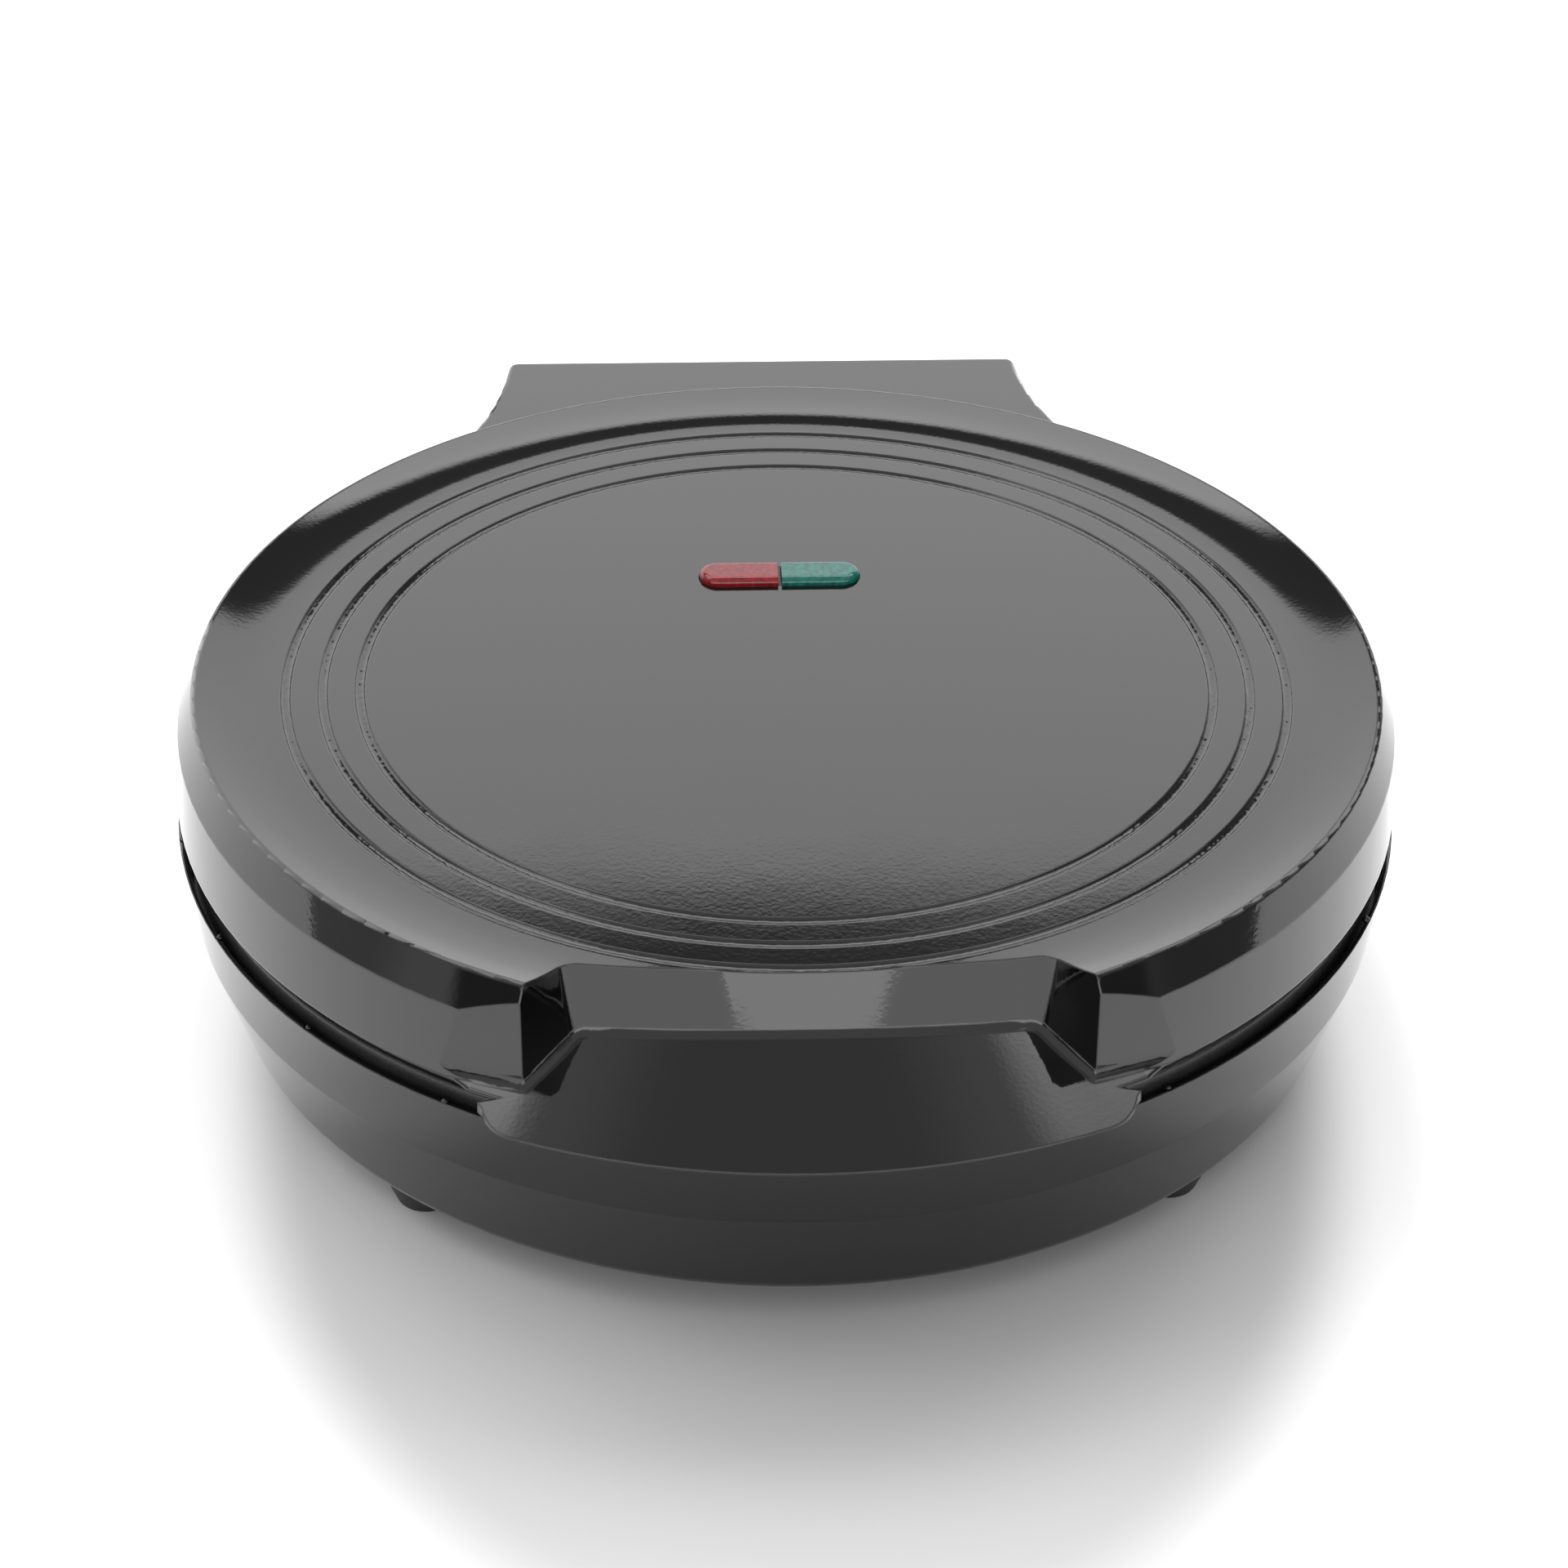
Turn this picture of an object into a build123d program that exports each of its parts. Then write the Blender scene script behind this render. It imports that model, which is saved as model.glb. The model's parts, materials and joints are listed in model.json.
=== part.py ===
"""Round electric pizza maker: a hinged lid over a base, each with its own cast plate and heater."""
import os
from math import cos, radians, sin, sqrt, tan

from build123d import *

# Heights of the outer casings above the table, from the feet up
foot_height = 12.0
base_taper_height = 30.9
base_band_height = 20.6
casing_gap = 8.8
lid_band_height = 20.6
lid_slope_height = 10.3
crest_rise = 3.7

base_floor_z = foot_height
base_crease_z = base_floor_z + base_taper_height
base_rim_z = base_crease_z + base_band_height
lid_low_z = base_rim_z + casing_gap
lid_crease_z = lid_low_z + lid_band_height
crest_z = lid_crease_z + lid_slope_height
lid_top_z = crest_z - crest_rise

# Radii of the outer casings about the disc's own axis, from the base's rim inwards
base_rim_radius = 167.3
base_band_run = 2.8
base_taper_run = 9.9
lid_set_in = 0.5
lid_band_run = 1.4
lid_slope_run = 4.6
dish_width = 22.4
base_crease_radius = base_rim_radius - base_band_run
base_floor_radius = base_crease_radius - base_taper_run
lid_low_radius = base_rim_radius - lid_set_in
lid_crease_radius = lid_low_radius - lid_band_run
crest_radius = lid_crease_radius - lid_slope_run
lid_flat_radius = crest_radius - dish_width
casing_wall = 2.5
rim_lip = 1.1
slope_wall_share = 0.25
base_floor_fillet = 6.0
crease_fillet = 1.2
crest_fillet = 1.1
edge_fillet = 0.6

# Small round nubs along the inner edge of the base's rim
nub_count = 22
nub_radius = 1.0
nub_inset = 1.3
nub_rise = 0.8

# Three concentric grooves in the lid's top
groove_count = 3
groove_set_in = 2.4
groove_pitch = 10.0
groove_width = 2.8
groove_depth = 0.8

# Handle at the front: a flared tab with a scooped pocket over a conical face
tab_overhang = 10.6
tab_reach = lid_low_radius + tab_overhang
tab_half_width = 80.2
tab_corner_y = tab_reach - 24.9
tab_front_half = 73.0
tab_root_x = 94.0
tab_root_y = tab_reach - 40.9
tab_top_reach = tab_reach - 10.0
tab_top_half_width = 62.0
tab_top_corner_y = tab_reach - 22.4
tab_top_front_half = 52.0
tab_top_root_x = 90.0
tab_top_root_y = tab_reach - 44.9
tab_top_drop = 1.2
tab_waist_height = 9.0
tab_waist_x = 2.5
tab_flare_height = 2.6
tab_flare_share = 0.45
tab_flare_radius = 60.0
lip_drop = 4.0
lip_start_y = tab_reach - 26.9
lip_edge = 0.7
pocket_depth = 16.0
pocket_wall_y = lid_flat_radius - 2.2
pocket_wall_lean = 18.6
pocket_half_width = 59.3
pocket_low_half_width = 57.0
pocket_bow = 3.8
pocket_low_bow = 6.2
pocket_corner_fillet = 6.0
pocket_floor_slope = 22.0
pocket_seam_fillet = 3.0
facet_angle = 53.0
facet_low_angle = 43.5
facet_run = 18.2
pocket_end_x = 92.0
pocket_margin = 3.0

# Hinge hood at the back of the lid, and the hinge housing under it on the base
hood_overhang = 28.0
hood_reach = lid_low_radius + hood_overhang
hood_half_width = 79.3
hood_root_x = 97.5
hood_root_y = hood_reach - 61.8
hood_flare_radius = 150.0
hood_corner_fillet = 3.0
hood_top_drop = 5.0
hood_top_fillet = 1.5
housing_set_in = 3.5
housing_floor_z = 24.0
deck_thickness = 8.5

# Plates
plate_fit = 2.0
plate_rim_width = 14.2
plate_wall_run = 3.0
plate_radius = base_rim_radius - rim_lip - plate_fit
plate_rim_inner = plate_radius - plate_rim_width
plate_floor_radius = plate_rim_inner - plate_wall_run
plate_thickness = 2.5
lower_plate_depth = 8.0
upper_plate_depth = 4.0
plate_rim_above_base = 4.3
plate_parting = 0.4
skirt_width = 3.0
skirt_height = 10.0
plate_rim_fillet = 1.0
plate_dish_fillet = 2.0
seat_width = 11.2
seat_inner_radius = plate_radius - seat_width
seat_thickness = 2.5
plate_screw_inset = 7.3
plate_screw_circle = plate_radius - plate_screw_inset
plate_screw_radius = 1.9
plate_screw_head_radius = 3.4
plate_screw_length = 7.0
plate_boss_radius = 3.6
screw_clearance = 0.2
screw_fit = 0.05
screw_sink = 0.2

# Heaters, their reflectors and the thermostat
heater_ring_radius = 105.0
heater_tube_radius = 3.25
heater_gap_angle = 10.0
heater_bend_radius = 8.0
heater_leg_end = 20.0
upper_heater_leg_end = 13.0
reflector_margin = 11.0
reflector_sheet = 0.8
reflector_rim = 4.0
reflector_gap = 3.0
reflector_post_reach = 17.0
reflector_post_circle = heater_ring_radius + reflector_post_reach
reflector_radius = reflector_post_circle + reflector_margin
reflector_post_radius = 4.0
reflector_screw_radius = 1.5
reflector_screw_head = 3.0
reflector_screw_head_height = 1.8
reflector_screw_length = 6.0
heater_hole_radius = 6.0
heater_pin_radius = 1.2
lower_pin_length = 9.0
upper_pin_length = 3.0
clip_leg = 2.5
clip_gap = 0.3
clip_width = 10.0
clip_sheet = 1.2
clip_angles = (0, 180, 225, 315)
thermostat_y = 40.0
thermostat_radius = 8.0
thermostat_cap_height = 5.0
thermostat_body_height = 7.0
thermostat_body_radius = 7.0
thermostat_blade_height = 9.0
strap_sheet = 1.0
strap_width = 18.0
strap_post_x = 15.0
strap_post_radius = 3.0
strap_end = 4.0
blade_width = 6.3
blade_sheet = 0.8
blade_x = 3.5
fuse_radius = 2.0
fuse_length = 12.0
fuse_y = -40.0
fuse_lead_radius = 0.6
fuse_lead_length = 10.0

# Indicator lamps in the lid
lamp_y = 52.0
lamp_length = 45.4
lamp_width = 10.4
lamp_rise = 2.2
lamp_split = 1.0
lamp_fit = 0.15
lamp_top_fillet = 1.6
lamp_flange = 1.2
lamp_flange_sheet = 1.5
lamp_box_height = 9.0
lamp_box_wall = 1.5
lamp_box_margin = 3.0
neon_radius = 2.6
neon_length = 13.0
lamp_lug_length = 8.0
lamp_lug_sheet = 2.0
lamp_boss_radius = 3.5
lamp_boss_height = 6.0
lamp_fence = 0.7
lamp_screw_radius = 1.25

# Hinge
hinge_back_set = 7.5
hinge_above_rim = 2.5
knuckle_radius = 4.5
knuckle_length = 15.0
ear_length = 8.0
ear_gap = 0.5
hinge_centre_x = 54.0
pin_radius = 2.5
pin_clearance = 0.06
pin_fit = 0.02
pin_head_radius = 3.6
pin_head_length = 1.5
notch_depth = 4.0
notch_margin = 0.8
hinge_cover_sheet = 2.0
hinge_cover_recess = 1.0
hinge_cover_fit = 0.3
hinge_cover_front = plate_radius + 1.0
hinge_cover_screw_x = 25.0
hinge_cover_screw_y = hood_reach - 14.0

# Bottom cover, feet, mains inlet
cover_set_in = 31.1
cover_radius = base_floor_radius - cover_set_in
cover_ledge = 2.5
cover_fit = 0.5
cover_opening = cover_radius - 11.5
cover_screw_circle = cover_radius - 5.5
cover_screw_count = 6
cover_screw_radius = 1.6
cover_screw_head_radius = 3.0
cover_screw_length = 8.0
cover_boss_radius = 4.5
cover_boss_height = 7.0
vent_count = 9
vent_pitch = 9.0
vent_length = 46.0
vent_width = 3.0
vent_offset_x = 45.0
foot_set_in = 15.6
foot_radius = 7.9
foot_top_radius = 12.5
foot_edge_fillet = 0.8
foot_recess_radius = 4.4
foot_recess_depth = 6.0
foot_screw_radius = 1.9
foot_screw_head_radius = 3.6
foot_screw_head_height = 2.4
foot_screw_length = 15.0
foot_boss_radius = 5.0
foot_boss_height = 9.0
inlet_x = -30.0
inlet_z = 42.0
inlet_radius = 6.0
inlet_bore = 3.6
inlet_flange = 2.0
inlet_flange_sheet = 1.5
inlet_fit = 0.1
terminal_length = 34.0
terminal_width = 16.0
terminal_height = 13.0
terminal_y = hood_reach - 22.0
terminal_ways = 3
terminal_bore = 2.2

# Places worked out from the sizes above
axis_y = (tab_reach - hood_reach) / 2
hinge_y = hood_reach - hinge_back_set
hinge_z = base_rim_z + hinge_above_rim
parting_z = base_rim_z + plate_rim_above_base + plate_parting / 2
lower_rim_z = parting_z - plate_parting / 2
upper_rim_z = parting_z + plate_parting / 2
lower_dish_z = lower_rim_z - lower_plate_depth
lower_under_z = lower_dish_z - plate_thickness
upper_dish_z = upper_rim_z + upper_plate_depth
upper_back_z = upper_dish_z + plate_thickness
seat_z = lower_rim_z - skirt_height
floor_top_z = base_floor_z + casing_wall
seat_wall_radius = base_rim_radius - casing_wall - (base_rim_z - seat_z) * base_band_run / base_band_height
gap_sin = sin(radians(heater_gap_angle))
gap_cos = cos(radians(heater_gap_angle))
heater_leg_x = heater_ring_radius * gap_sin - heater_bend_radius * gap_cos
heater_leg_y = heater_ring_radius * gap_cos + heater_bend_radius * gap_sin
groove_radii = [lid_flat_radius - groove_set_in - i * groove_pitch for i in range(groove_count)]
foot_x = (base_floor_radius - foot_set_in) * cos(radians(45))
lamp_lug_x = lamp_length / 2 + lamp_box_margin + lamp_lug_length / 2
housing_back = hinge_back_set - housing_set_in
lid_ceiling_z = lid_top_z - casing_wall
lens_low_z = lid_ceiling_z - lamp_flange_sheet
lamp_lug_z = lid_ceiling_z - lamp_boss_height
ear_offset = knuckle_length / 2 + ear_gap + ear_length / 2
pin_head_x = hinge_centre_x + ear_offset + ear_length / 2
hood_top_z = lid_top_z - hood_top_drop
housing_reach = hood_reach - housing_set_in
housing_half_width = hood_half_width - housing_set_in / 2
lower_heater_z = lower_under_z - heater_tube_radius
upper_heater_z = upper_back_z + heater_tube_radius
lower_reflector_z = lower_heater_z - heater_tube_radius - reflector_gap
upper_reflector_z = upper_heater_z + heater_tube_radius + reflector_gap
hinge_cover_z = lid_low_z + hinge_cover_recess
hinge_cover_points = [(-hinge_cover_screw_x, hinge_cover_screw_y), (hinge_cover_screw_x, hinge_cover_screw_y)]
terminal_z = housing_floor_z + casing_wall
terminal_pitch = terminal_length / terminal_ways
terminal_points = [((i - (terminal_ways - 1) / 2) * terminal_pitch, terminal_y) for i in range(terminal_ways)]
neon_z = lens_low_z - lamp_box_height + lamp_box_wall + neon_radius

disc = Plane((0, axis_y, 0))
disc_axis = Axis((0, axis_y, 0), (0, 0, 1))
section = Plane(origin=(0, axis_y, 0), x_dir=(1, 0, 0), z_dir=(0, -1, 0))

foot_places = {
    "front_left_foot": (-foot_x, -foot_x),
    "front_right_foot": (foot_x, -foot_x),
    "rear_left_foot": (-foot_x, foot_x),
    "rear_right_foot": (foot_x, foot_x),
}
inlet_plane = Plane(origin=(inlet_x, axis_y + housing_reach, inlet_z), x_dir=(-1, 0, 0), z_dir=(0, 1, 0))

os.makedirs("parts", exist_ok=True)


def save(piece, name):
    piece.part.label = name
    export_step(piece.part, f"parts/{name}.step")


def lid_section(inset, crest_inset):
    """Half section of the lid's outside, or of its inside when inset by the wall."""
    crest = (crest_radius - inset, crest_z - crest_inset)
    flat = (lid_flat_radius, lid_top_z - inset)
    Polyline(
        flat,
        (0, lid_top_z - inset),
        (0, lid_low_z),
        (lid_low_radius - inset, lid_low_z),
        (lid_crease_radius - inset, lid_crease_z - slope_wall_share * inset),
        crest,
    )
    TangentArc(flat, crest, tangent=(1, 0))


def tab_outline(reach, half_width, corner_y, front_half, root_x, root_y):
    """Plan of the handle's tab: flared sides, rounded corners and a front arc about the disc's axis."""
    front_y = sqrt(reach**2 - front_half**2)
    Line((-root_x, -root_y), (root_x, -root_y))
    RadiusArc((root_x, -root_y), (half_width, -corner_y), -tab_flare_radius)
    TangentArc((front_half, -front_y), (half_width, -corner_y), tangent=(front_y, front_half))
    ThreePointArc((-front_half, -front_y), (0, -reach), (front_half, -front_y))
    TangentArc((-front_half, -front_y), (-half_width, -corner_y), tangent=(-front_y, front_half))
    RadiusArc((-half_width, -corner_y), (-root_x, -root_y), -tab_flare_radius)


def tab_level(share, wider=0.0):
    """Outline of the tab between its top, at share 0, and its flared foot, at share 1."""
    top = (
        tab_top_reach,
        tab_top_half_width,
        tab_top_corner_y,
        tab_top_front_half,
        tab_top_root_x,
        tab_top_root_y,
    )
    foot = (tab_reach, tab_half_width, tab_corner_y, tab_front_half, tab_root_x, tab_root_y)
    reach, half_width, corner_y, front_half, root_x, root_y = (a + share * (b - a) for a, b in zip(top, foot))
    tab_outline(reach, half_width + wider, corner_y, front_half + wider, root_x + wider, root_y)


def handle_tab(inset):
    """The handle's tab: a flared foot, upright sides over it, and a lip below the lid's edge at the front."""
    levels = (
        (lid_low_z, 1.0, 0.0),
        (lid_low_z + tab_flare_height, tab_flare_share, 0.0),
        (lid_low_z + tab_waist_height, 0.0, tab_waist_x),
        (crest_z - tab_top_drop - inset, 0.0, 0.0),
    )
    with BuildPart() as tab:
        for low, high in zip(levels, levels[1:]):
            for height, share, wider in (low, high):
                with BuildSketch(disc.offset(height)):
                    with BuildLine():
                        tab_level(share, wider)
                    make_face()
                    if inset:
                        offset(amount=-inset)
            loft(ruled=True)
        with BuildSketch(disc.offset(lid_low_z)):
            with BuildLine():
                tab_level(1.0)
            make_face()
            if inset:
                offset(amount=-inset)
            with Locations((0, tab_reach - lip_start_y + inset)):
                Rectangle(2 * tab_reach, 2 * tab_reach, mode=Mode.SUBTRACT)
        extrude(amount=-lip_drop - inset)
    return tab.part


def handle_face(drop):
    """Half section under the handle's conical face, lowered by drop."""
    rise = tan(radians(pocket_floor_slope))
    edge_z = lid_low_z - lip_drop + lip_edge - drop
    far = tab_reach + facet_run + pocket_margin
    Polyline(
        (0, edge_z + tab_reach * rise),
        (far, edge_z - (far - tab_reach) * rise),
        (far, base_floor_z - far * rise),
        (0, base_floor_z - far * rise),
        close=True,
    )


def pocket_outline(height):
    """Plan of the pocket at a height: a bowed back wall between two facets that open towards the front."""
    down = (lid_top_z - height) / pocket_depth
    wall_y = pocket_wall_y + down * pocket_depth * tan(radians(pocket_wall_lean))
    half = pocket_half_width + down * (pocket_low_half_width - pocket_half_width)
    corner_y = wall_y - pocket_bow - down * (pocket_low_bow - pocket_bow)
    top_way = (cos(radians(facet_angle)), sin(radians(facet_angle)))
    low_way = (cos(radians(facet_low_angle)), sin(radians(facet_low_angle)))
    end_x = half + facet_run * (top_way[0] + down * (low_way[0] - top_way[0]))
    end_y = corner_y + facet_run * (top_way[1] + down * (low_way[1] - top_way[1]))
    side_y = sqrt(lid_low_radius**2 - pocket_end_x**2)
    front_y = tab_reach + facet_run
    ThreePointArc((-half, -corner_y), (0, -wall_y), (half, -corner_y))
    Polyline((half, -corner_y), (end_x, -end_y), (pocket_end_x, -side_y), (pocket_end_x, -front_y))
    Line((pocket_end_x, -front_y), (-pocket_end_x, -front_y))
    Polyline((-pocket_end_x, -front_y), (-pocket_end_x, -side_y), (-end_x, -end_y), (-half, -corner_y))


def hood_outline(reach, half_width):
    """Plan of the hinge hood: a straight back and sides that sweep in from the disc."""
    Line((-hood_root_x, hood_root_y), (hood_root_x, hood_root_y))
    RadiusArc((hood_root_x, hood_root_y), (half_width, reach), hood_flare_radius)
    Line((half_width, reach), (-half_width, reach))
    RadiusArc((-half_width, reach), (-hood_root_x, hood_root_y), hood_flare_radius)


def heater_path(height, leg_end):
    """A ring with both ends bent away from its plate; leg_end is signed along Z."""
    up = 1 if leg_end > 0 else -1
    ends = []
    for angle, way in ((90 + heater_gap_angle, 1), (90 - heater_gap_angle, -1)):
        at = Vector(cos(radians(angle)), sin(radians(angle))) * heater_ring_radius + Vector(0, axis_y, height)
        along = Vector(-sin(radians(angle)), cos(radians(angle))) * way
        rise = Vector(0, 0, up * heater_bend_radius)
        middle = at + rise - (along * heater_bend_radius * sin(radians(45)) + rise * cos(radians(45)))
        leg_top = at + rise - along * heater_bend_radius
        leg_low = leg_top + Vector(0, 0, leg_end - up * heater_bend_radius)
        ends.append((at, middle, leg_top, leg_low))
    (start, start_bend, start_leg, start_tip), (stop, stop_bend, stop_leg, stop_tip) = ends
    Line(start_tip, start_leg)
    ThreePointArc(start_leg, start_bend, start)
    ThreePointArc(start, (0, axis_y - heater_ring_radius, height), stop)
    ThreePointArc(stop, stop_bend, stop_leg)
    Line(stop_leg, stop_tip)
    return start_tip


def ring(radius, count, start=0.0):
    """Points evenly round the disc's axis."""
    turns = [radians(start + 360 * i / count) for i in range(count)]
    return [(radius * cos(t), radius * sin(t)) for t in turns]


def flush_screws(points, face_z, way, head_radius, shank_radius, length, mode=Mode.ADD):
    """Countersunk screws, or their holes, with heads at face_z and shanks pointing along way."""
    near = (Align.CENTER, Align.CENTER, Align.MIN if way > 0 else Align.MAX)
    radii = (head_radius, shank_radius) if way > 0 else (shank_radius, head_radius)
    with Locations(disc.offset(face_z)):
        with Locations(*points):
            Cone(*radii, head_radius - shank_radius, align=near, mode=mode)
            Cylinder(shank_radius, length, align=near, mode=mode)


def pan_screws(points, face_z, way, head_radius, head_height, shank_radius, length):
    """Screws whose heads stand on face_z, with shanks pointing along way."""
    near = (Align.CENTER, Align.CENTER, Align.MIN if way > 0 else Align.MAX)
    behind = (Align.CENTER, Align.CENTER, Align.MAX if way > 0 else Align.MIN)
    with Locations(disc.offset(face_z)):
        with Locations(*points):
            Cylinder(head_radius, head_height, align=behind)
            Cylinder(shank_radius, length, align=near)


def hinge_plane(x):
    """Plane square to the hinge's axis, with Y to its right and Z up."""
    return Plane(origin=(x, axis_y + hinge_y, hinge_z), x_dir=(0, 1, 0), z_dir=(1, 0, 0))


def handle_pocket(inset):
    """The pocket over the handle's conical face, or the pocket with its own walls when inset by them."""
    with BuildPart() as scoop:
        for level in (crest_z + pocket_margin, lid_low_z - lip_drop - pocket_margin):
            with BuildSketch(disc.offset(level)) as outline:
                with BuildLine():
                    pocket_outline(level)
                make_face()
                corners = outline.vertices().group_by(Axis.Y)[-1]
                fillet(corners, pocket_corner_fillet)
                if inset:
                    offset(amount=inset, kind=Kind.INTERSECTION)
        loft(ruled=True)
        with BuildSketch(section):
            with BuildLine():
                handle_face(inset)
            make_face()
        revolve(axis=disc_axis, mode=Mode.SUBTRACT)
        if not inset:
            seams = scoop.faces().filter_by(GeomType.CONE).edges()
            fillet(seams.filter_by(lambda edge: edge.center().Y > axis_y - tab_reach), pocket_seam_fillet)
    return scoop.part


# The pocket with its own walls, which stay out of the lid's inside
pocket_walls = handle_pocket(casing_wall)

# Inside of the lid: disc, handle and hood, all one wall in from the outside
with BuildPart() as lid_void:
    with BuildSketch(section):
        with BuildLine():
            lid_section(casing_wall, casing_wall + crest_fillet)
        make_face()
    revolve(axis=disc_axis)
    add(pocket_walls, mode=Mode.SUBTRACT)
    add(handle_tab(casing_wall) - pocket_walls)
    with BuildSketch(disc.offset(lid_low_z)):
        with BuildLine():
            hood_outline(hood_reach - casing_wall, hood_half_width - casing_wall)
        make_face()
    extrude(amount=hood_top_z - casing_wall - lid_low_z)

# Air over the lid's dished rim, which the handle's shoulders stay under
with BuildPart() as rim_dish:
    with BuildSketch(section):
        with BuildLine():
            flat = (lid_flat_radius, lid_top_z)
            crest = (crest_radius, crest_z)
            TangentArc(flat, crest, tangent=(1, 0))
            over_z = crest_z + pocket_margin
            Polyline(crest, (crest_radius, over_z), (0, over_z), (0, lid_top_z), flat)
        make_face()
    revolve(axis=disc_axis)

# Hinge hood at the back of the lid, with a soft edge round its flat top
with BuildPart() as hood:
    with BuildSketch(disc.offset(lid_low_z)) as hood_plan:
        with BuildLine():
            hood_outline(hood_reach, hood_half_width)
        make_face()
        fillet(hood_plan.vertices().group_by(Axis.Y)[-1], hood_corner_fillet)
    extrude(amount=hood_top_z - lid_low_z)
    top_edges = hood.faces().sort_by(Axis.Z)[-1].edges()
    fillet(top_edges.sort_by(Axis.Y)[1:], hood_top_fillet)

# Lid casing with its handle and hinge hood
with BuildPart() as lid_shell:
    with BuildSketch(section) as outside:
        with BuildLine():
            lid_section(0, 0)
        make_face()
        by_height = outside.vertices().group_by(Axis.Y)
        fillet(by_height[-1], crest_fillet)
        crease = outside.vertices().filter_by(lambda v: abs(v.Y - lid_crease_z) < edge_fillet)
        fillet(crease, crease_fillet)
    revolve(axis=disc_axis)
    add(handle_tab(0))
    add(hood.part)
    add(rim_dish.part, mode=Mode.SUBTRACT)
    add(handle_pocket(0), mode=Mode.SUBTRACT)
    with BuildSketch(section):
        for radius in groove_radii:
            with Locations((radius, lid_top_z)):
                Ellipse(groove_width / 2, groove_depth)
    revolve(axis=disc_axis, mode=Mode.SUBTRACT)
    add(lid_void.part, mode=Mode.SUBTRACT)
    # Knuckles for the hinge pins, each on a web that hangs from the hood
    for side in (-1, 1):
        with BuildSketch(hinge_plane(side * hinge_centre_x)):
            Circle(knuckle_radius)
            with Locations((0, (hood_top_z - casing_wall - hinge_z) / 2)):
                Rectangle(2 * knuckle_radius, hood_top_z - casing_wall - hinge_z)
            Circle(pin_radius + pin_clearance, mode=Mode.SUBTRACT)
        extrude(amount=knuckle_length / 2, both=True)
    # Bosses for the plate's screws, the lamp box's screws and the hinge cover's screws
    with BuildSketch(disc.offset(upper_rim_z + plate_thickness)):
        with PolarLocations(plate_screw_circle, 4, start_angle=45):
            Circle(plate_boss_radius)
            Circle(plate_screw_radius + screw_fit, mode=Mode.SUBTRACT)
    extrude(amount=lid_top_z + edge_fillet - upper_rim_z - plate_thickness)
    with BuildSketch(disc.offset(hinge_cover_z + hinge_cover_sheet)):
        with Locations(*hinge_cover_points):
            Circle(cover_boss_radius)
            Circle(cover_screw_radius + screw_fit, mode=Mode.SUBTRACT)
    extrude(amount=hood_top_z - casing_wall - hinge_cover_z - hinge_cover_sheet)
    with BuildSketch(disc.offset(lid_ceiling_z)):
        with Locations((0, lamp_y)):
            SlotOverall(lamp_length + 2 * lamp_fit, lamp_width + 2 * lamp_fit)
    extrude(amount=lid_top_z - lid_ceiling_z, mode=Mode.SUBTRACT)
    with BuildSketch(disc.offset(lid_ceiling_z)):
        with Locations((-lamp_lug_x, lamp_y), (lamp_lug_x, lamp_y)):
            Circle(lamp_boss_radius)
            Circle(lamp_screw_radius + screw_fit, mode=Mode.SUBTRACT)
    extrude(amount=-lamp_boss_height)

save(lid_shell, "lid_shell")


# Outside of the base's bowl, which the hinge housing meets
with BuildPart() as bowl:
    with BuildSketch(section) as outside:
        with BuildLine():
            Polyline(
                (0, base_floor_z),
                (base_floor_radius, base_floor_z),
                (base_crease_radius, base_crease_z),
                (base_rim_radius, base_rim_z),
                (0, base_rim_z),
                close=True,
            )
        make_face()
        fillet(outside.vertices().group_by(Axis.Y)[0].sort_by(Axis.X)[-1:], base_floor_fillet)
        crease = outside.vertices().filter_by(lambda v: abs(v.Y - base_crease_z) < edge_fillet)
        fillet(crease, crease_fillet)
    revolve(axis=disc_axis)

# Room inside the hinge housing, which opens into the bowl
with BuildPart() as housing_room:
    with BuildSketch(disc.offset(base_rim_z - deck_thickness)):
        with BuildLine():
            hood_outline(housing_reach - casing_wall, housing_half_width - casing_wall)
        make_face()
    extrude(amount=housing_floor_z + casing_wall - base_rim_z + deck_thickness)

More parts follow.
